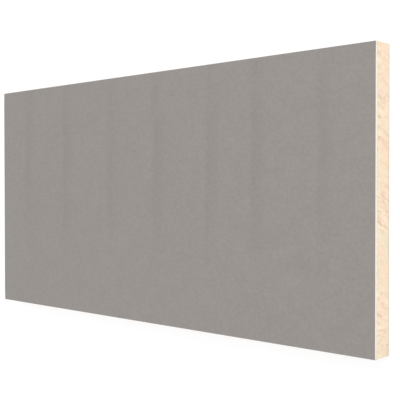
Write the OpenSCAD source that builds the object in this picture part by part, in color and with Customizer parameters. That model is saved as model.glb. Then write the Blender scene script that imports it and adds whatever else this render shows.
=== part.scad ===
// Insulated drywall sheet: a paper-faced gypsum board bonded to a rigid foam board.
// It lies on its back facing with the grey face up, in millimetres.
// X runs along the length, Y across the width and Z up through the thickness,
// and the origin is the middle of the underside.

/* [Sheet] */
// Length of the sheet between its two sawn ends
sheet_length = 2438; // [600:1:3600]
// Width of the sheet between its two long edges
sheet_width = 1200; // [400:1:1250]

/* [Drywall] */
// Thickness of the drywall with its papers
drywall_thickness = 12.5; // [9.5:0.5:19]
// Thickness of the grey paper over the face and round the long edges
face_paper_thickness = 0.4; // [0.2:0.05:0.8]
// Thickness of the paper on the back of the gypsum
back_paper_thickness = 0.4; // [0.2:0.05:0.8]

/* [Bound edges] */
// Width of the shallow taper along each long edge
taper_width = 50; // [30:1:80]
// Depth of the taper where it meets the edge
taper_depth = 1.2; // [0.6:0.1:2.5]
// Outer radius of the paper where it folds round an edge
fold_radius = 2; // [1:0.1:3]
// Width of the paper lap that is folded on to the back of the gypsum
lap_width = 20; // [10:1:40]

/* [Insulation] */
// Thickness of the insulation with its facing
insulation_thickness = 90; // [20:5:150]
// Thickness of the facing on the underside
facing_thickness = 0.5; // [0.2:0.1:1]

/* [Hidden] */

// Smoothness of the folds
$fn = 48;

half_width = sheet_width / 2;
taper_angle = atan(taper_depth / taper_width);

// Heights above the underside: the back of the drywall, the outside of the folded laps, and the face
drywall_back = insulation_thickness;
lap_level = drywall_back + back_paper_thickness;
face_level = drywall_back + drywall_thickness;

// Each fold turns about one centre, so that the paper keeps its thickness round it.
fold_y = half_width - fold_radius;
taper_level_at_fold = face_level - (taper_width - fold_radius) * tan(taper_angle);
upper_fold_centre = [fold_y, taper_level_at_fold - fold_radius / cos(taper_angle)];
lower_fold_centre = [fold_y, lap_level + fold_radius];

// The drywall's outline in Y and Z, as straight stretches with a circle in each of the four folds.
// Inset 0 is the outside of the folded paper, and an inset of its own thickness is the side that
// grips the gypsum.
module board_outline(inset) {
    radius = fold_radius - inset;
    half = [
        lower_fold_centre - [0, radius],
        lower_fold_centre + [radius, 0],
        upper_fold_centre + [radius, 0],
        upper_fold_centre + radius * [sin(taper_angle), cos(taper_angle)],
        [half_width - taper_width - inset * tan(taper_angle / 2), face_level - inset]
    ];
    other_half = [for (i = [len(half) - 1 : -1 : 0]) [-half[i][0], half[i][1]]];
    polygon(concat(half, other_half));
    for (side = [-1, 1], centre = [lower_fold_centre, upper_fold_centre])
        translate([side * centre[0], centre[1]])
            circle(r = radius);
}

// The gypsum's outline, which fills the space between the two laps as well
module gypsum_outline() {
    lap_end = half_width - lap_width;
    board_outline(face_paper_thickness);
    translate([-lap_end, lap_level])
        square([2 * lap_end, face_paper_thickness]);
}

// A section in Y and Z, carried from end to end of the sheet
module along_sheet() {
    translate([-sheet_length / 2, 0, 0])
        rotate([90, 0, 90])
            linear_extrude(height = sheet_length)
                children();
}

// A flat layer between two heights
module layer(width, bottom, top) {
    along_sheet()
        translate([-width / 2, bottom])
            square([width, top - bottom]);
}

// Grey paper over the face, folded round both long edges and lapped on to the back
module face_paper() {
    color("#999591")
        along_sheet()
            difference() {
                board_outline(0);
                gypsum_outline();
            }
}

// Gypsum inside the folded paper
module gypsum_core() {
    color("#fff5e7")
        along_sheet()
            gypsum_outline();
}

// Paper over the back of the gypsum and its laps, as far as the folds
module back_paper() {
    color("#a39d95")
        layer(2 * fold_y, drywall_back, lap_level);
}

// Rigid closed-cell foam, sawn square on all four sides
module foam_core() {
    color("#f8e3c9")
        layer(sheet_width, facing_thickness, insulation_thickness);
}

// Facing under the foam, which the sheet lies on
module back_facing() {
    color("#b4b1ac")
        layer(sheet_width, 0, facing_thickness);
}

face_paper();
gypsum_core();
back_paper();
foam_core();
back_facing();
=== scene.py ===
# Insulated drywall sheet, lying on its back: the looks of its five bonded layers, in metres
import math

import bmesh
import bpy
import numpy as np
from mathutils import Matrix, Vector


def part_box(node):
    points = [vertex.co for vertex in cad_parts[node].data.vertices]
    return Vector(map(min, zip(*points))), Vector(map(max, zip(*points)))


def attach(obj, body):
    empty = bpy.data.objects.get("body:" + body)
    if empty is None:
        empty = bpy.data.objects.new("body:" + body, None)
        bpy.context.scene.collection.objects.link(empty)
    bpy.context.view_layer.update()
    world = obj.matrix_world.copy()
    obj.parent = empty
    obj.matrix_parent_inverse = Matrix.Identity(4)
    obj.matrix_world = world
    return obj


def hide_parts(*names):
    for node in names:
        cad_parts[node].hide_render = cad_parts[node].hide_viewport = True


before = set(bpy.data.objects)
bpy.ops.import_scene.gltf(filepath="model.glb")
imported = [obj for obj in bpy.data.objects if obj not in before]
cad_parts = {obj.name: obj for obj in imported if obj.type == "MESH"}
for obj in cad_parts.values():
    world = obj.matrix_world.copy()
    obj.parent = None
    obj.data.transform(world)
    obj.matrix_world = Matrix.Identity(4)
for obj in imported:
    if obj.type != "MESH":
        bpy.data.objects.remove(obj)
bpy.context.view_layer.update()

scene = bpy.context.scene
mm = 0.001

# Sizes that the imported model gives
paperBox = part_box("face_paper")
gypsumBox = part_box("gypsum_core")
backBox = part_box("back_paper")
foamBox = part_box("foam_core")
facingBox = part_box("back_facing")
halfLength, halfWidth, faceLevel = paperBox[1]
lapLevel = backBox[1].z                     # outside of the paper laps
foldRadius = halfWidth - backBox[1].y       # the back paper stops where the folds begin
paperThick = faceLevel - gypsumBox[1].z


# Helpers for shapes

latticeSide = 512       # heights along each side of a random lattice


# A value between the two of a pair
def between(pair, share):
    return pair[0] + (pair[1] - pair[0]) * share


# Heights on a random lattice, eased between its points by 3t^2 - 2t^3, from 0 to 1
def patches(along, across, sizeAlong, sizeAcross, seed):
    heights = np.random.default_rng(seed).random((latticeSide, latticeSide))
    i, j = np.broadcast_arrays(along / sizeAlong, across / sizeAcross)
    i0, j0 = np.floor(i).astype(int), np.floor(j).astype(int)
    s, t = i - i0, j - j0
    s, t = s * s * (3 - 2 * s), t * t * (3 - 2 * t)
    i0, i1 = i0 % latticeSide, (i0 + 1) % latticeSide
    j0, j1 = j0 % latticeSide, (j0 + 1) % latticeSide
    near = heights[i0, j0] * (1 - s) + heights[i1, j0] * s
    far = heights[i0, j1] * (1 - s) + heights[i1, j1] * s
    return near * (1 - t) + far * t


# Round dents at random places, each as deep as (1 - (r / R)^2)^2 where the place is nearer than R
def dents(along, across, lowCorner, highCorner, radius, depth, count, seed):
    draw = np.random.default_rng(seed)
    middles = draw.uniform(lowCorner, highCorner, (count, 2))
    radii = draw.uniform(*radius, count)
    depths = draw.uniform(*depth, count)
    total = np.zeros_like(along)
    for (a, b), r, d in zip(middles, radii, depths):
        near = np.clip(1 - ((along - a) ** 2 + (across - b) ** 2) / r ** 2, 0, 1)
        total = np.maximum(total, d * near ** 2)
    return total


# Corner numbers of the quads of a grid whose points are numbered row by row from first
def gridQuads(rows, columns, first=0, closed=False):
    row = np.arange(rows - 1)[:, None]
    column = np.arange(columns if closed else columns - 1)[None, :]
    after = (column + 1) % columns
    corners = (row * columns + column, row * columns + after,
               (row + 1) * columns + after, (row + 1) * columns + column)
    return np.stack(np.broadcast_arrays(*corners), -1).reshape(-1, 4) + first


# Quads between two lines of points that are numbered alike
def seamQuads(lineA, lineB):
    return np.stack([lineA[:-1], lineA[1:], lineB[1:], lineB[:-1]], -1)


# A ribbon: an outer and an inner grid of stations by section points, joined along its rims and at its ends
def ribbonFaces(stations, count):
    outer = np.arange(stations * count).reshape(stations, count)
    inner = outer + stations * count
    return [
        gridQuads(stations, count), gridQuads(stations, count, stations * count),
        seamQuads(outer[:, 0], inner[:, 0]), seamQuads(outer[:, -1], inner[:, -1]),
        seamQuads(outer[0], inner[0]), seamQuads(outer[-1], inner[-1]),
    ]


# Puts points and faces into a closed mesh that rides on the sheet in place of its CAD node
def makePiece(name, points, faces, node, material, sharpAngle=35):
    corners = [face for part in faces for face in part.tolist()]
    mesh = bpy.data.meshes.new(name)
    mesh.from_pydata(points.reshape(-1, 3).tolist(), [], corners)
    shape = bmesh.new()
    shape.from_mesh(mesh)
    bmesh.ops.recalc_face_normals(shape, faces=shape.faces)
    shape.to_mesh(mesh)
    shape.free()
    mesh.shade_smooth()
    mesh.set_sharp_from_angle(angle=math.radians(sharpAngle))
    mesh.materials.append(material)
    piece = bpy.data.objects.new(name, mesh)
    scene.collection.objects.link(piece)
    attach(piece, "root")
    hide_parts(node)
    print(name + ":", len(mesh.vertices), "points,", len(mesh.polygons), "faces")
    return piece


# Gives each point of a piece a number that its material reads by name
def setTones(piece, name, tones):
    layer = piece.data.attributes.new(name, "FLOAT", "POINT")
    layer.data.foreach_set("value", tones.astype(np.float32).ravel())


# Helpers for materials

# sRGB hex to linear red, green, blue and alpha
def linear(hexColour):
    parts = [int(hexColour[i:i + 2], 16) / 255 for i in (1, 3, 5)]
    return [c / 12.92 if c <= 0.04045 else ((c + 0.055) / 1.055) ** 2.4 for c in parts] + [1.0]


# Adds a node, gives it its settings, and sets or links its inputs. Inputs that share a name go by number:
# 0 and 1 are Math's two values, and 0, 6 and 7 are Mix's share and its two colours, mixed at output 2.
def addNode(tree, kind, inputs=None, **settings):
    node = tree.nodes.new("ShaderNode" + kind)
    for name, value in settings.items():
        setattr(node, name, value)
    for key, value in (inputs or {}).items():
        if isinstance(value, bpy.types.NodeSocket):
            tree.links.new(value, node.inputs[key])
        else:
            node.inputs[key].default_value = value
    return node


# A material with nothing but its shader, and the place on the piece in metres
def newMaterial(name, look):
    material = bpy.data.materials.new(name)
    material.use_nodes = True
    tree = material.node_tree
    tree.nodes.clear()
    shader = addNode(tree, "BsdfPrincipled", {"Roughness": look["roughness"], "IOR": look["ior"]})
    addNode(tree, "OutputMaterial", {"Surface": shader.outputs[0]})
    place = addNode(tree, "TexCoord").outputs["Object"]
    return material, tree, shader, place


# Gives a shader its colour, and the relief of a height pattern
def finishSurface(tree, shader, look, colour, height):
    bump = addNode(tree, "Bump", {"Height": height, "Strength": look["bumpStrength"],
                                  "Distance": look["bumpMm"] * mm})
    tree.links.new(colour, shader.inputs["Base Color"])
    tree.links.new(bump.outputs[0], shader.inputs["Normal"])


# Grey face paper

facePaperLook = {
    "roughness": 0.86,
    "ior": 1.5,
    "grey": "#908b87",          # main tone
    "pale": "#938e8a",          # paler mottles
    "band": "#8e8985",          # the faint bands across the sheet
    "mottleMm": 70,             # width of a mottle
    "fleckMm": 14,              # flecks of other pulp are 1 to 3 mm wide, drawn coarser so that they show
    "fleckTone": 0.05,          # how much darker or paler a fleck is
    "fibreMm": 5,               # fibres are well under 1 mm wide, drawn coarser too
    "fibreShare": 0.35,         # that width as a share of their length, which lies along the sheet
    "fibreTone": 0.03,
    "bumpMm": 0.05,
    "bumpStrength": 0.6,
}


# Recycled liner paper, pressed smooth: a matt warm grey with mottles, faint darker bands across the sheet,
# flecks and fibres
def greyLinerPaper(look):
    material, tree, shader, place = newMaterial("grey_liner_paper", look)
    stretched = addNode(tree, "Mapping", {"Vector": place, "Scale": (look["fibreShare"], 1, 1)}).outputs[0]
    mottle = addNode(tree, "TexNoise", {"Vector": place, "Scale": 1000 / look["mottleMm"], "Detail": 4.0,
                                        "Roughness": 0.6})
    fibre = addNode(tree, "TexNoise", {"Vector": stretched, "Scale": 1000 / look["fibreMm"], "Detail": 3.0,
                                       "Roughness": 0.7})
    band = addNode(tree, "Attribute", attribute_name="crossBand")
    clouds = addNode(tree, "MapRange", {"Value": mottle.outputs[0], "From Min": 0.3, "From Max": 0.7})
    base = addNode(tree, "Mix", {0: clouds.outputs[0], 6: linear(look["grey"]), 7: linear(look["pale"])},
                   data_type="RGBA")
    banded = addNode(tree, "Mix", {0: band.outputs["Fac"], 6: base.outputs[2], 7: linear(look["band"])},
                     data_type="RGBA")
    fibreTone = addNode(tree, "MapRange", {"Value": fibre.outputs[0], "From Min": 0.25, "From Max": 0.75,
                                           "To Min": 1 - look["fibreTone"], "To Max": 1 + look["fibreTone"]})
    fleck = addNode(tree, "TexNoise", {"Vector": place, "Scale": 1000 / look["fleckMm"], "Detail": 1.0})
    fleckTone = addNode(tree, "MapRange", {"Value": fleck.outputs[0], "From Min": 0.25, "From Max": 0.75,
                                           "To Min": 1 - look["fleckTone"], "To Max": 1 + look["fleckTone"]})
    fine = addNode(tree, "Math", {0: fibreTone.outputs[0], 1: fleckTone.outputs[0]}, operation="MULTIPLY")
    fibred = addNode(tree, "Mix", {0: 1.0, 6: banded.outputs[2], 7: fine.outputs[0]},
                     data_type="RGBA", blend_type="MULTIPLY")
    finishSurface(tree, shader, look, fibred.outputs[2], fibre.outputs[0])
    return material


facePaper = {
    "taperWidth": 50 * mm,      # shallow taper along each long edge
    "taperDepth": 1.2 * mm,
    "lapWidth": 20 * mm,        # paper folded on to the back of the gypsum
    "lapPoints": 3,
    "foldPoints": 8,
    "taperPoints": 5,
    "cellAlong": 8 * mm,        # grid of the face
    "cellAcross": 13 * mm,
    "bandPlaces": (0.225, 0.565, 0.925, 1.255, 1.595, 1.855, 2.195),    # metres from the far end
    "bandTones": (0.8, 1.0),    # every other band is fainter
    "bandRise": 25 * mm,        # a band darkens quickly on the side of the far end
    "bandFall": 90 * mm,        # and clears slowly on the other
    "bandWander": 8 * mm,
    "wanderLength": 240 * mm,
    "unevenSize": (45 * mm, 80 * mm),       # patches in which a band is weaker or stronger
    "unevenTones": (0.6, 1.4),
    "fadePlaces": (-0.55, -0.1, 0.35, 1.0),     # across the sheet, as shares of its half width
    "fadeTones": (0.0, 0.9, 1.1, 0.65),         # how strong the bands are there
    "bandDepth": 0.08 * mm,
    "cockleDepth": 0.07 * mm,   # slow unevenness of the paper
    "cockleSize": (190 * mm, 130 * mm),
    "seed": 3,
}


# Section of the folded paper at one edge, from the end of its lap to the head of its taper: straight runs,
# and arcs about the two fold centres. Inset 0 is the outside, and an inset of the paper's own thickness is
# the side on the gypsum.
def paperEdge(inset):
    slope = math.atan(facePaper["taperDepth"] / facePaper["taperWidth"])
    foldY = halfWidth - foldRadius
    taperDrop = (facePaper["taperWidth"] - foldRadius) * math.tan(slope)
    upperZ = faceLevel - taperDrop - foldRadius / math.cos(slope)
    radius = foldRadius - inset
    lapY = np.linspace(halfWidth - facePaper["lapWidth"], foldY, facePaper["lapPoints"] + 1)[:-1]
    lower = np.linspace(-math.pi / 2, 0, facePaper["foldPoints"])
    upper = np.linspace(0, math.pi / 2 - slope, facePaper["foldPoints"])
    head = (halfWidth - facePaper["taperWidth"] - inset * math.tan(slope / 2), faceLevel - inset)
    turnY = foldY + radius * math.sin(slope)
    turnZ = upperZ + radius * math.cos(slope)
    share = np.linspace(0, 1, facePaper["taperPoints"] + 1)[1:]
    return np.concatenate([
        np.stack([lapY, np.full(len(lapY), lapLevel + inset)], -1),
        np.stack([foldY + radius * np.cos(lower), lapLevel + foldRadius + radius * np.sin(lower)], -1),
        np.stack([foldY + radius * np.cos(upper), upperZ + radius * np.sin(upper)], -1),
        np.stack([turnY + (head[0] - turnY) * share, turnZ + (head[1] - turnZ) * share], -1),
    ])


# The whole section: one edge, the flat face, and the other edge mirrored
def paperSection(inset):
    edge = paperEdge(inset)
    faceCount = round(2 * edge[-1, 0] / facePaper["cellAcross"])
    faceY = np.linspace(edge[-1, 0], -edge[-1, 0], faceCount + 1)[1:-1]
    face = np.stack([faceY, np.full(len(faceY), faceLevel - inset)], -1)
    return np.concatenate([edge, face, edge[::-1] * [-1, 1]])


# How dark a band is: cos^2 that rises quickly and falls slowly, in uneven patches, weaker at one long edge
# and gone before the other
def crossBands(x, y):
    seed = facePaper["seed"]
    wander = facePaper["bandWander"] * (patches(y, 0 * x, facePaper["wanderLength"], 1, seed + 1) - 0.5)
    total = np.zeros_like(x)
    for number, place in enumerate(facePaper["bandPlaces"]):
        gap = x + halfLength + wander - place
        run = np.where(gap < 0, gap / facePaper["bandRise"], gap / facePaper["bandFall"])
        total += facePaper["bandTones"][number % 2] * np.cos(math.pi / 2 * np.clip(run, -1, 1)) ** 2
    uneven = between(facePaper["unevenTones"], patches(x, y, *facePaper["unevenSize"], seed + 2))
    return total * uneven * np.interp(y / halfWidth, facePaper["fadePlaces"], facePaper["fadeTones"])


# The section carried along the sheet. Its outside sinks towards its inside by the bands and the cockle.
def buildFacePaper():
    stations = round(2 * halfLength / facePaper["cellAlong"]) + 1
    outer, inner = paperSection(0), paperSection(paperThick)
    count = len(outer)
    x = np.broadcast_to(np.linspace(-halfLength, halfLength, stations)[:, None], (stations, count))
    y = np.broadcast_to(outer[:, 0], (stations, count))
    bands = crossBands(x, y)
    cockle = patches(x, y, *facePaper["cockleSize"], facePaper["seed"])
    share = (bands * facePaper["bandDepth"] + cockle * facePaper["cockleDepth"]) / paperThick
    sunk = outer + (inner - outer) * share[..., None]
    outside = np.concatenate([x[..., None], sunk], -1)
    inside = np.concatenate([x[..., None], np.broadcast_to(inner, sunk.shape)], -1)
    piece = makePiece("grey_face_paper", np.stack([outside, inside]), ribbonFaces(stations, count),
                      "face_paper", greyLinerPaper(facePaperLook))
    setTones(piece, "crossBand", np.stack([bands, 0 * bands]))


buildFacePaper()


# Gypsum core

gypsumLook = {
    "roughness": 0.95,
    "ior": 1.52,
    "white": "#faf0e5",
    "shade": "#e8ddd1",         # painted shade in the pores and between the crystals
    "poreMm": 2.2,              # pores are about 1 mm wide, drawn coarser
    "grainMm": 1.2,             # crumbs of the cut, since the crystals are too fine to show
    "grainShade": 0.6,          # how white the darkest crumb still is
    "bumpMm": 0.25,
    "bumpStrength": 0.6,
}


# Set gypsum, cut across the sheet: a chalky off-white with fine grain and small air pores, with painted
# shade in the pores
def cutGypsum(look):
    material, tree, shader, place = newMaterial("cut_gypsum", look)
    grain = addNode(tree, "TexNoise", {"Vector": place, "Scale": 1000 / look["grainMm"], "Detail": 3.0})
    pore = addNode(tree, "TexVoronoi", {"Vector": place, "Scale": 1000 / look["poreMm"]})
    solid = addNode(tree, "MapRange", {"Value": pore.outputs["Distance"], "From Min": 0.1, "From Max": 0.35})
    cloudy = addNode(tree, "MapRange", {"Value": grain.outputs[0], "From Min": 0.3, "From Max": 0.7,
                                        "To Min": look["grainShade"]})
    height = addNode(tree, "Math", {0: solid.outputs[0], 1: cloudy.outputs[0]}, operation="MULTIPLY")
    # painted shade: the pores and low crumbs take the darker colour where the bump sinks
    base = addNode(tree, "Mix", {0: height.outputs[0], 6: linear(look["shade"]), 7: linear(look["white"])},
                   data_type="RGBA")
    finishSurface(tree, shader, look, base.outputs[2], height.outputs[0])
    return material


gypsumCore = {
    "cell": 1.5 * mm,           # grid of the cut ends
    "rows": 11,
    "lapStep": 0.02 * mm,       # width of the step at the end of each lap
    "grain": 0.12 * mm,         # roughness of the cut
    "grainSize": (4 * mm, 3 * mm),
    "chip": 0.5 * mm,           # crumbled arrises beside the papers
    "chipLength": 7 * mm,
    "chipReach": 1.6 * mm,
    "poreRadius": (0.9 * mm, 2.2 * mm),
    "poreDepth": (0.3 * mm, 0.7 * mm),
    "poreCount": 260,
    "seed": 20,
}


# The gypsum's section: columns across the sheet that follow the folds and step up at the end of each lap,
# with the height of the underside and of the top at each, on the inner side of the papers
def gypsumSection():
    inner = paperEdge(paperThick)
    lowCount = facePaper["lapPoints"] + facePaper["foldPoints"]
    low, high = inner[:lowCount], inner[:lowCount - 1:-1]
    lapEnd = halfWidth - facePaper["lapWidth"]
    fold = low[facePaper["lapPoints"]:, 0]
    lapRun = np.arange(lapEnd + gypsumCore["lapStep"], fold[0], gypsumCore["cell"])
    middle = np.linspace(-lapEnd, lapEnd, round(2 * lapEnd / gypsumCore["cell"]) + 1)
    y = np.concatenate([-fold[::-1], -lapRun[::-1], middle, lapRun, fold])
    under = np.where(np.abs(y) <= lapEnd, lapLevel, np.interp(np.abs(y), low[:, 0], low[:, 1]))
    return y, under, np.interp(np.abs(y), high[:, 0], high[:, 1])


# Each cut end is a grid across the sheet and up through the core, sunk by grain, pores and chipped arrises
def buildGypsumCore():
    y, under, top = gypsumSection()
    reach = y[-1]
    rows, columns = gypsumCore["rows"], len(y)
    z = under + (top - under) * np.linspace(0, 1, rows)[:, None]
    y = np.broadcast_to(y, z.shape)
    nearArris = np.clip(1 - np.minimum(z - under, top - z) / gypsumCore["chipReach"], 0, 1)
    ends = []
    for side, seed in ((-1, gypsumCore["seed"]), (1, gypsumCore["seed"] + 10)):
        depth = gypsumCore["grain"] * patches(y, z, *gypsumCore["grainSize"], seed)
        depth += dents(y, z, (-reach, lapLevel), (reach, faceLevel), gypsumCore["poreRadius"],
                       gypsumCore["poreDepth"], gypsumCore["poreCount"], seed + 1)
        crumble = patches(y, 0 * z, gypsumCore["chipLength"], 1, seed + 2) ** 2
        depth += gypsumCore["chip"] * crumble * nearArris
        ends.append(np.stack([side * (halfLength - depth), y, z], -1))
    first = np.arange(rows * columns).reshape(rows, columns)
    rim = np.concatenate([first[0], first[1:, -1], first[-1, -2::-1], first[-2::-1, 0]])
    faces = [gridQuads(rows, columns), gridQuads(rows, columns, rows * columns),
             seamQuads(rim, rim + rows * columns)]
    makePiece("gypsum_core_cut", np.stack(ends), faces, "gypsum_core", cutGypsum(gypsumLook))


buildGypsumCore()


# Paper on the back of the gypsum, and the facing under the foam

thinSheets = {
    "cell": 24 * mm,
    "rimFray": 0.5 * mm,        # how far a cut rim draws in
    "frayLength": 30 * mm,
    "backSeed": 41,
    "facingSeed": 43,
}

backPaperLook = {
    "roughness": 0.92,
    "ior": 1.5,
    "tone": "#86817b",
    "fleck": "#a09a93",
    "fibreMm": 6,               # clumps of fibre are 1 to 3 mm wide, drawn coarser
    "bumpMm": 0.1,
    "bumpStrength": 0.5,
}

facingLook = {
    "roughness": 0.9,
    "ior": 1.55,
    "tone": "#b0ada8",
    "strand": "#95928d",
    "strandMm": 14,             # length of a strand
    "strandShare": 0.12,        # its width as a share of that, drawn coarser
    "strandTurns": (20, 80, 140),           # degrees
    "bumpMm": 0.1,
    "bumpStrength": 0.5,
}


# Recycled backing paper, not pressed smooth: a matt brownish grey with flecks
def backingPaper(look):
    material, tree, shader, place = newMaterial("backing_paper", look)
    fibre = addNode(tree, "TexNoise", {"Vector": place, "Scale": 1000 / look["fibreMm"], "Detail": 4.0})
    base = addNode(tree, "Mix", {0: fibre.outputs[0], 6: linear(look["tone"]), 7: linear(look["fleck"])},
                   data_type="RGBA")
    finishSurface(tree, shader, look, base.outputs[2], fibre.outputs[0])
    return material


# Glass tissue with a mineral coating: pale grey and matt, with strands lying every way under the coating
def coatedTissue(look):
    material, tree, shader, place = newMaterial("coated_glass_tissue", look)
    strandWide = look["strandShare"] * look["strandMm"]
    heights = []
    for turn in look["strandTurns"]:
        turned = addNode(tree, "Mapping", {"Vector": place, "Rotation": (0, 0, math.radians(turn)),
                                           "Scale": (look["strandShare"], 1, 1)})
        strand = addNode(tree, "TexNoise", {"Vector": turned.outputs[0], "Scale": 1000 / strandWide,
                                            "Detail": 2.0})
        heights.append(strand.outputs[0])
    pair = addNode(tree, "Math", {0: heights[0], 1: heights[1]}, operation="MAXIMUM")
    strands = addNode(tree, "Math", {0: pair.outputs[0], 1: heights[2]}, operation="MAXIMUM")
    shown = addNode(tree, "MapRange", {"Value": strands.outputs[0], "From Min": 0.5, "From Max": 0.8})
    base = addNode(tree, "Mix", {0: shown.outputs[0], 6: linear(look["tone"]), 7: linear(look["strand"])},
                   data_type="RGBA")
    finishSurface(tree, shader, look, base.outputs[2], shown.outputs[0])
    return material


# A thin flat ribbon between two corners, whose rims draw in by an uneven fray
def buildThinSheet(name, box, node, material, seed):
    low, high = box
    stations = round((high.x - low.x) / thinSheets["cell"]) + 1
    count = round((high.y - low.y) / thinSheets["cell"]) + 1
    u = np.linspace(-1, 1, stations)[:, None]
    v = np.linspace(-1, 1, count)[None, :]
    uneven = patches(u * high.x, v * high.y, thinSheets["frayLength"], thinSheets["frayLength"], seed)
    fray = thinSheets["rimFray"] * uneven
    flat = np.stack([u * (high.x - fray), v * (high.y - fray)], -1)
    outside = np.concatenate([flat, np.full((stations, count, 1), low.z)], -1)
    inside = np.concatenate([flat, np.full((stations, count, 1), high.z)], -1)
    makePiece(name, np.stack([outside, inside]), ribbonFaces(stations, count), node, material)


buildThinSheet("gypsum_backing_paper", backBox, "back_paper", backingPaper(backPaperLook),
               thinSheets["backSeed"])
buildThinSheet("tissue_back_facing", facingBox, "back_facing", coatedTissue(facingLook),
               thinSheets["facingSeed"])


# Rigid foam

foamLook = {
    "roughness": 0.93,
    "ior": 1.45,
    "cream": "#ebdec4",
    "peach": "#f5dabb",
    "rosy": "#f3d8c4",
    "pale": "#fcecd3",          # strands that set early
    "tan": "#c7ab8d",           # knit lines and marks that set late
    "patchMm": 110,             # width of a cream or peach patch
    "rosyMm": 65,               # and of a rosy one
    "grainMm": 6,               # width of the fine upright grain
    "grainShare": 0.2,          # and that width as a share of its length
    "grainTone": 0.03,          # how much darker or paler it is
    "strandTone": 0.4,          # how much it breaks up the knit lines and marks
    "speckMm": 5,               # clusters of denser and looser cells
    "speckTone": 0.05,
    "cellMm": 1.8,              # cells are about 0.4 mm wide, drawn coarser so that they show
    # painted shade in the hollow of each cell, with paler walls between them
    "cellHollowShade": 0.04,
    "bumpMm": 0.2,
    "bumpStrength": 0.5,
}


# Closed-cell rigid foam, sawn: a dry matt cream with peach and rosy patches, fine cells with painted shade
# in their hollows, and knit lines where its strands met as they rose
def sawnRigidFoam(look):
    material, tree, shader, place = newMaterial("sawn_rigid_foam", look)
    patch = addNode(tree, "TexNoise", {"Vector": place, "Scale": 1000 / look["patchMm"], "Detail": 3.0,
                                       "Roughness": 0.6})
    warm = addNode(tree, "MapRange", {"Value": patch.outputs[0], "From Min": 0.35, "From Max": 0.65})
    blush = addNode(tree, "TexNoise", {"Vector": place, "Scale": 1000 / look["rosyMm"], "Detail": 2.0})
    rosy = addNode(tree, "MapRange", {"Value": blush.outputs[0], "From Min": 0.45, "From Max": 0.75})
    creamy = addNode(tree, "Mix", {0: warm.outputs[0], 6: linear(look["cream"]), 7: linear(look["peach"])},
                     data_type="RGBA")
    base = addNode(tree, "Mix", {0: rosy.outputs[0], 6: creamy.outputs[2], 7: linear(look["rosy"])},
                   data_type="RGBA")
    upright = addNode(tree, "Mapping", {"Vector": place, "Scale": (1, 1, look["grainShare"])})
    grain = addNode(tree, "TexNoise", {"Vector": upright.outputs[0], "Scale": 1000 / look["grainMm"],
                                       "Detail": 3.0})
    strands = addNode(tree, "MapRange", {"Value": grain.outputs[0], "From Min": 0.3, "From Max": 0.7,
                                         "To Min": 1 - look["strandTone"], "To Max": 1 + look["strandTone"]})
    knitTone = addNode(tree, "Attribute", attribute_name="knitTone").outputs["Fac"]
    knit = addNode(tree, "Math", {0: knitTone, 1: strands.outputs[0]}, operation="MULTIPLY")
    late = addNode(tree, "MapRange", {"Value": knit.outputs[0], "From Min": 0.0, "From Max": -1.0})
    early = addNode(tree, "MapRange", {"Value": knit.outputs[0], "From Min": 0.0, "From Max": 1.0})
    darker = addNode(tree, "Mix", {0: late.outputs[0], 6: base.outputs[2], 7: linear(look["tan"])},
                     data_type="RGBA")
    toned = addNode(tree, "Mix", {0: early.outputs[0], 6: darker.outputs[2], 7: linear(look["pale"])},
                    data_type="RGBA")
    speck = addNode(tree, "TexNoise", {"Vector": place, "Scale": 1000 / look["speckMm"], "Detail": 3.0,
                                       "Roughness": 0.7})
    cell = addNode(tree, "TexVoronoi", {"Vector": place, "Scale": 1000 / look["cellMm"]})
    grainTone = addNode(tree, "MapRange", {"Value": grain.outputs[0], "From Min": 0.3, "From Max": 0.7,
                                           "To Min": 1 - look["grainTone"], "To Max": 1 + look["grainTone"]})
    speckTone = addNode(tree, "MapRange", {"Value": speck.outputs[0], "From Min": 0.3, "From Max": 0.7,
                                           "To Min": 1 - look["speckTone"], "To Max": 1 + look["speckTone"]})
    # painted shade: each cell is darker at its middle, where the bump sinks
    cellHollowShade = addNode(tree, "MapRange", {"Value": cell.outputs["Distance"],
                                          "From Min": 0.1, "From Max": 0.7,
                                          "To Min": 1 - look["cellHollowShade"], "To Max": 1 + look["cellHollowShade"]})
    coarse = addNode(tree, "Math", {0: grainTone.outputs[0], 1: speckTone.outputs[0]}, operation="MULTIPLY")
    fine = addNode(tree, "Math", {0: coarse.outputs[0], 1: cellHollowShade.outputs[0]}, operation="MULTIPLY")
    celled = addNode(tree, "Mix", {0: 1.0, 6: toned.outputs[2], 7: fine.outputs[0]},
                     data_type="RGBA", blend_type="MULTIPLY")
    finishSurface(tree, shader, look, celled.outputs[2], cell.outputs["Distance"])
    return material


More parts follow.
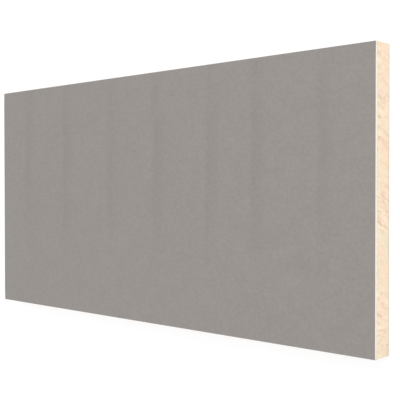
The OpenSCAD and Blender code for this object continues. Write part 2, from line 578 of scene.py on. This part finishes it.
foamCore = {
    "cellEnd": 2.6 * mm,        # grid along the two ends, the two sides, and up through the thickness
    "cellSide": 3.6 * mm,
    "rows": 35,
    "crowding": 0.4,            # how much the rows crowd towards the two arrises
    "corner": 1.0 * mm,         # radius of the four upright corners
    "cornerSteps": 5,
    "cornerFade": 6 * mm,       # the relief dies out beside the corners
    "lean": (0.03, 0.5),        # least and most slope of a knit line off the upright
    "leanLength": 260 * mm,
    "lineSize": (22 * mm, 32 * mm),         # broad knit lines, and the fine ones between them
    "lineTone": 0.35,
    "fineSize": (9 * mm, 28 * mm),
    "fineTone": 0.85,
    "wander": 22 * mm,
    "wanderSize": (65 * mm, 45 * mm),
    "sideTone": (0.15, 0.6),    # strength of the lines on the far end and the sides, calm and busy by turns
    "sideLength": 130 * mm,
    "sideFade": 40 * mm,        # how soon that takes over past the corners of the near end
    "sideUpright": 0.6,         # how much of its lean and wander a line loses there
    "markTone": 0.26,           # strength of all the marks
    "markSize": 1.25,           # how far beyond its half width and half length a mark fades out
    "markLean": 0.28,
    "strayMarks": 60,           # small marks on the far end and the two sides
    "strayDepth": (20, 95),     # in mm, as in the list of marks below
    "strayWide": (4, 9),
    "strayLong": (8, 26),
    "strayTone": (-0.9, 0.6),
    "faceSkinAndShade": 3 * mm,         # denser foam under the drywall and over the facing, darkened as well by painted shade along those joins
    "faceSkinAndShadeTone": 0.3,
    "backSkinAndShade": 5 * mm,
    "backSkinAndShadeTone": 0.08,
    "markDepth": 0.45 * mm,     # how far the darkest marks are sunk
    "waveDepth": 0.35 * mm,     # slow unevenness of the saw cut
    "waveSize": (240 * mm, 140 * mm),
    "arris": 0.9 * mm,          # how far the foam draws in at its upper and lower arris
    "arrisReach": 2.2 * mm,
    "arrisLength": 18 * mm,
    "arrisWear": (0.35, 1.0),   # least and most of that, along the arris
    "sharpAngle": 50,
    "seed": 50,
}

# How busy the near end is: places from the sheet's middle line in mm, and the lines' strength there
nearEndBusy = (
    (-600, 0.5), (-540, 0.7), (-380, 0.7), (-310, 0.3), (-160, 0.3), (-60, 0.9),
    (60, 0.7), (110, 0.3), (180, 0.3), (230, 0.5), (600, 0.5),
)

# Marks on the near end, where strands of the rising foam closed up late, or early: place from the
# sheet's middle line, depth below the face, half width along the end, half length through the thickness, all
# in mm, and tone
nearEndMarks = (
    (557, 27, 9, 16, -1.0),
    (545, 66, 8, 12, -1.6),
    (517, 61, 5, 15, -0.7),
    (450, 76, 9, 18, -1.0),
    (414, 48, 6, 10, -0.8),
    (400, 96, 8, 10, 0.8),
    (397, 22, 4, 14, -0.5),
    (388, 38, 7, 14, -1.0),
    (388, 65, 7, 12, -1.2),
    (360, 27, 7, 14, -0.8),
    (350, 57, 8, 10, -1.8),
    (336, 44, 6, 26, 2.2),
    (316, 30, 8, 13, -2.0),
    (288, 57, 6, 8, -0.7),
    (258, 68, 6, 14, -0.9),
    (250, 32, 5, 24, 1.6),
    (247, 94, 6, 9, -1.2),
    (240, 28, 9, 13, -3.2),
    (234, 56, 6, 7, -1.2),
    (228, 24, 6, 14, -1.4),
    (221, 90, 5, 8, -1.2),
    (218, 55, 5, 9, -0.8),
    (210, 70, 4, 8, -0.8),
    (203, 94, 6, 6, -1.0),
    (193, 17, 8, 7, -1.2),
    (67, 38, 5, 24, -1.4),
    (50, 42, 6, 12, -1.0),
    (37, 35, 5, 20, 1.4),
    (26, 38, 5, 18, -1.6),
    (15, 28, 5, 18, -1.2),
    (6, 30, 4, 20, 1.8),
    (7, 60, 4, 12, -2.2),
    (-22, 28, 4, 16, -1.6),
    (-42, 87, 9, 13, -2.4),
    (-53, 48, 5, 20, -0.7),
    (-66, 60, 7, 36, 1.4),
    (-80, 28, 8, 16, -1.8),
    (-92, 42, 5, 12, -2.6),
    (-100, 78, 8, 26, -1.3),
    (-102, 45, 5, 28, 2.6),
    (-352, 50, 8, 9, -2.4),
    (-357, 21, 7, 14, 3.0),
    (-372, 25, 8, 9, -3.0),
    (-390, 58, 6, 24, -0.8),
    (-410, 90, 9, 10, 0.8),
    (-431, 22, 7, 11, -1.1),
    (-434, 62, 5, 24, 1.2),
    (-441, 46, 7, 13, -1.7),
    (-480, 40, 6, 30, 1.6),
    (-492, 34, 6, 24, -0.8),
    (-530, 42, 8, 10, -1.6),
    (-558, 92, 10, 9, -2.2),
    (-570, 58, 5, 10, -2.2),
    (-577, 26, 4, 18, -0.9),
    (-586, 22, 5, 9, -1.6),
)


# Points round the foam, with the outward direction at each, and the distance from the nearest corner
def foamOutline():
    corner = foamCore["corner"]
    reachX, reachY = foamBox[1].x - corner, foamBox[1].y - corner
    bend = np.linspace(0, math.pi / 2, foamCore["cornerSteps"] + 1)[1:-1]
    bendWay = np.stack([np.cos(bend), np.sin(bend)], -1)
    runs = []
    for side in range(4):
        onEnd = side % 2 == 0
        reach, across = (reachY, reachX) if onEnd else (reachX, reachY)
        cell = foamCore["cellEnd"] if onEnd else foamCore["cellSide"]
        along = np.linspace(-reach, reach, round(2 * reach / cell) + 1)
        straight = np.stack([np.full(len(along), across + corner), along], -1)
        points = np.concatenate([straight, (across, reach) + corner * bendWay])
        out = np.concatenate([np.tile([1.0, 0.0], (len(along), 1)), bendWay])
        away = np.concatenate([reach - np.abs(along), 0 * bend])
        turn = math.radians(90 * side)
        spin = np.array([[math.cos(turn), math.sin(turn)], [-math.sin(turn), math.cos(turn)]])
        runs.append((points @ spin, out @ spin, away))
    return [np.concatenate(part) for part in zip(*runs)]


# Small marks at random places of the far end and the two sides, in the form of the list above
def strayMarks(perimeter):
    draw = np.random.default_rng(foamCore["seed"] + 6)
    ranges = ((halfWidth / mm, (perimeter - halfWidth) / mm), foamCore["strayDepth"], foamCore["strayWide"],
              foamCore["strayLong"], foamCore["strayTone"])
    return np.stack([draw.uniform(*pair, foamCore["strayMarks"]) for pair in ranges], -1)


# How the foam set, from -1 (late, darker) to 1 (early, paler): lattice lines that lean and wander, strong
# and calm by turns, with single marks of (1 - r^2)^2 over an ellipse, and denser skins with painted shade
def knitTones(along, depth, perimeter):
    seed = foamCore["seed"]
    offEnd = np.minimum(np.abs(along) - halfWidth, perimeter - halfWidth - along)
    onSide = np.clip(offEnd / foamCore["sideFade"], 0, 1)
    upright = 1 - foamCore["sideUpright"] * onSide
    lean = between(foamCore["lean"], patches(along, 0 * depth, foamCore["leanLength"], 1, seed + 1))
    wander = foamCore["wander"] * (patches(along, depth, *foamCore["wanderSize"], seed + 2) - 0.5)
    path = along + (lean * depth + wander) * upright
    broad = patches(path, depth, *foamCore["lineSize"], seed + 3) - 0.5
    fine = patches(path, depth, *foamCore["fineSize"], seed + 4) - 0.5
    places, strengths = np.transpose(nearEndBusy)
    endBusy = np.interp(along, places * mm, strengths)
    sideBusy = between(foamCore["sideTone"], patches(along, 0 * depth, foamCore["sideLength"], 1, seed + 5))
    lines = foamCore["lineTone"] * broad + foamCore["fineTone"] * fine
    tones = lines * between((endBusy, sideBusy), onSide)
    for place, down, halfWide, halfLong, tone in np.concatenate([nearEndMarks, strayMarks(perimeter)]):
        through = depth - down * mm
        sideways = along + foamCore["markLean"] * through - place * mm
        ellipse = (sideways / (halfWide * mm)) ** 2 + (through / (halfLong * mm)) ** 2
        tones += foamCore["markTone"] * tone * np.clip(1 - ellipse / foamCore["markSize"] ** 2, 0, 1) ** 2
    # Painted shade with the denser skins: the foam darkens towards the drywall above and the facing below
    underFace = (depth - depth.min()) / foamCore["faceSkinAndShade"]
    overBack = (depth.max() - depth) / foamCore["backSkinAndShade"]
    tones -= foamCore["faceSkinAndShadeTone"] * np.clip(1 - underFace, 0, 1)
    tones -= foamCore["backSkinAndShadeTone"] * np.clip(1 - overBack, 0, 1)
    return np.clip(tones, -1, 1)


# The outline carried up through the thickness, sunk by late marks, saw waves and worn arrises, and closed by
# a fan below and one above
def buildFoamCore():
    points, out, away = foamOutline()
    rows, count = foamCore["rows"], len(points)
    low, high = foamBox[0].z, foamBox[1].z
    share = np.linspace(0, 1, rows)
    eased = 0.5 - 0.5 * np.cos(math.pi * share)
    level = between((low, high), between((share, eased), foamCore["crowding"]))
    z = np.broadcast_to(level[:, None], (rows, count))
    steps = np.linalg.norm(np.diff(points, axis=0, append=points[:1]), axis=1)
    walked = np.concatenate([[0], np.cumsum(steps)[:-1]]) - foamBox[1].y + foamCore["corner"]
    along = np.broadcast_to(walked, (rows, count))                 # along the near end this is y
    tones = knitTones(along, faceLevel - z, steps.sum())
    fade = np.clip(away / foamCore["cornerFade"], 0, 1)
    waves = patches(along, z, *foamCore["waveSize"], foamCore["seed"] + 7)
    depth = (foamCore["markDepth"] * (0.5 - 0.5 * tones) + foamCore["waveDepth"] * waves) * fade
    nearArris = np.clip(1 - np.minimum(z - low, high - z) / foamCore["arrisReach"], 0, 1)
    wear = patches(along, 0 * z, foamCore["arrisLength"], 1, foamCore["seed"] + 8)
    depth = depth + foamCore["arris"] * nearArris ** 2 * between(foamCore["arrisWear"], wear)
    place = points[None] - out[None] * depth[..., None]
    body = np.concatenate([place, z[..., None]], -1).reshape(-1, 3)
    middles = np.array([[0, 0, low], [0, 0, high]])
    ring = np.arange(count)
    after = (ring + 1) % count
    lastRow = (rows - 1) * count
    lowFan = np.stack([ring, after, np.full(count, rows * count)], -1)
    highFan = np.stack([ring + lastRow, after + lastRow, np.full(count, rows * count + 1)], -1)
    piece = makePiece("sawn_foam_core", np.concatenate([body, middles]),
                      [gridQuads(rows, count, closed=True), lowFan, highFan],
                      "foam_core", sawnRigidFoam(foamLook), foamCore["sharpAngle"])
    setTones(piece, "knitTone", np.concatenate([tones.ravel(), [0, 0]]))


buildFoamCore()


# Floor, light and camera

studio = {
    "roughness": 0.9,
    "ior": 1.5,
    "floor": "#cecece",
    "glow": "#f4f8ff",          # a little cool, because the foam throws a warm light on the floor
    "floorGlow": 0.435,         # the floor is a light table, so that only a faint shadow is left on it
    "floorSize": 1000.0,
    "sky": 1.0,                 # even light from all round
    "keyPlace": (3.2, 3.4, 3.8),
    "keyPower": 36,
    "keySize": 3.0,             # broad, so that its shadows are soft
}

# Where the photograph was taken from: the picture's up is the sheet's +Y
viewpoint = {
    "place": (2.72098, 0.04775, 2.71751),
    "turn": (-0.8948, 42.4585, -0.0600),     # degrees about X, Y and Z
    "lens": 70.702,                          # mm
    "sensor": 36,                            # mm
}

floorMaterial, _, floorShader, _ = newMaterial("white_light_table", studio)
floorShader.inputs["Base Color"].default_value = linear(studio["floor"])
floorShader.inputs["Emission Color"].default_value = linear(studio["glow"])
floorShader.inputs["Emission Strength"].default_value = studio["floorGlow"]
floorMesh = bpy.data.meshes.new("floor")
edge = studio["floorSize"] / 2
floorCorners = [(-edge, -edge, 0), (edge, -edge, 0), (edge, edge, 0), (-edge, edge, 0)]
floorMesh.from_pydata(floorCorners, [], [(0, 1, 2, 3)])
floorMesh.materials.append(floorMaterial)
floor = bpy.data.objects.new("floor", floorMesh)
scene.collection.objects.link(floor)

scene.world = bpy.data.worlds.new("even_light")
scene.world.use_nodes = True
background = scene.world.node_tree.nodes["Background"]
background.inputs["Color"].default_value = (1, 1, 1, 1)
background.inputs["Strength"].default_value = studio["sky"]

keyData = bpy.data.lights.new("soft_key", "AREA")
keyData.shape = "DISK"
keyData.size = studio["keySize"]
keyData.energy = studio["keyPower"]
key = bpy.data.objects.new("soft_key", keyData)
key.location = studio["keyPlace"]
key.rotation_euler = Vector(studio["keyPlace"]).to_track_quat("Z", "Y").to_euler()
key.visible_camera = False
scene.collection.objects.link(key)

cameraData = bpy.data.cameras.new("camera")
cameraData.lens = viewpoint["lens"]
cameraData.sensor_width = viewpoint["sensor"]
camera = bpy.data.objects.new("camera", cameraData)
camera.location = viewpoint["place"]
camera.rotation_euler = [math.radians(angle) for angle in viewpoint["turn"]]
scene.collection.objects.link(camera)
scene.camera = camera
scene.view_settings.view_transform = "Standard"
print("stage: floor, light and camera")
